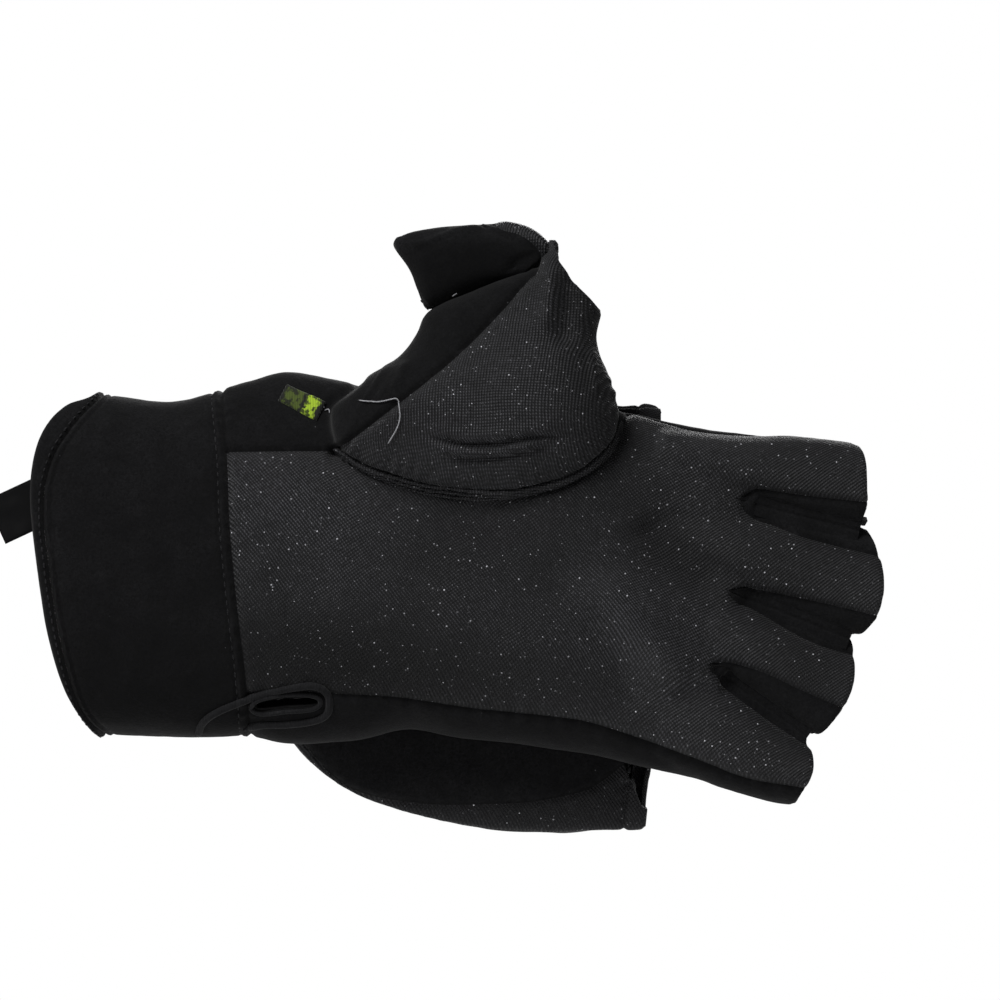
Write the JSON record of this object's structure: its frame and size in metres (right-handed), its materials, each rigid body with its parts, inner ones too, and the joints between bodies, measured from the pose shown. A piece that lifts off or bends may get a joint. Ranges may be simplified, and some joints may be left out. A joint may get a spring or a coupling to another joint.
{
  "type": "fishing glove",
  "caption": "Left fishing glove with open finger ends, a mitten hood folded onto its back, a folded-back thumb cap and a deep wrist cuff.",
  "frame": {"origin": "middle of the wrist opening, which is what holds the glove up", "axes": "+X from the wrist to the finger ends, +Z to the thumb side, and the palm faces -Y"},
  "size_m": [0.2482, 0.0681, 0.1692],
  "materials": {
    "fleece": "matt brushed fleece over neoprene",
    "grip_twill": "fine rubberised twill with a faint sparkle",
    "binding": "matt rolled binding",
    "patch": "matt woven patch",
    "label": "smooth woven ribbon"
  },
  "bodies": {
    "root": {"cuff_band": "fleece", "cuff_hem": "binding", "palm_panel": "grip_twill", "back_panel": "fleece", "gusset_index_middle": "fleece", "gusset_middle_ring": "fleece", "gusset_ring_little": "fleece", "thumb_panel": "grip_twill", "thumb_back": "fleece", "thumb_cap": "fleece", "thumb_seam": "binding", "slit_binding": "binding", "hood_back_panel": "fleece", "hood_palm_panel": "grip_twill", "hood_hem": "binding", "thumb_side_patch": "patch", "wrist_label": "label"}
  },
  "joints": []
}
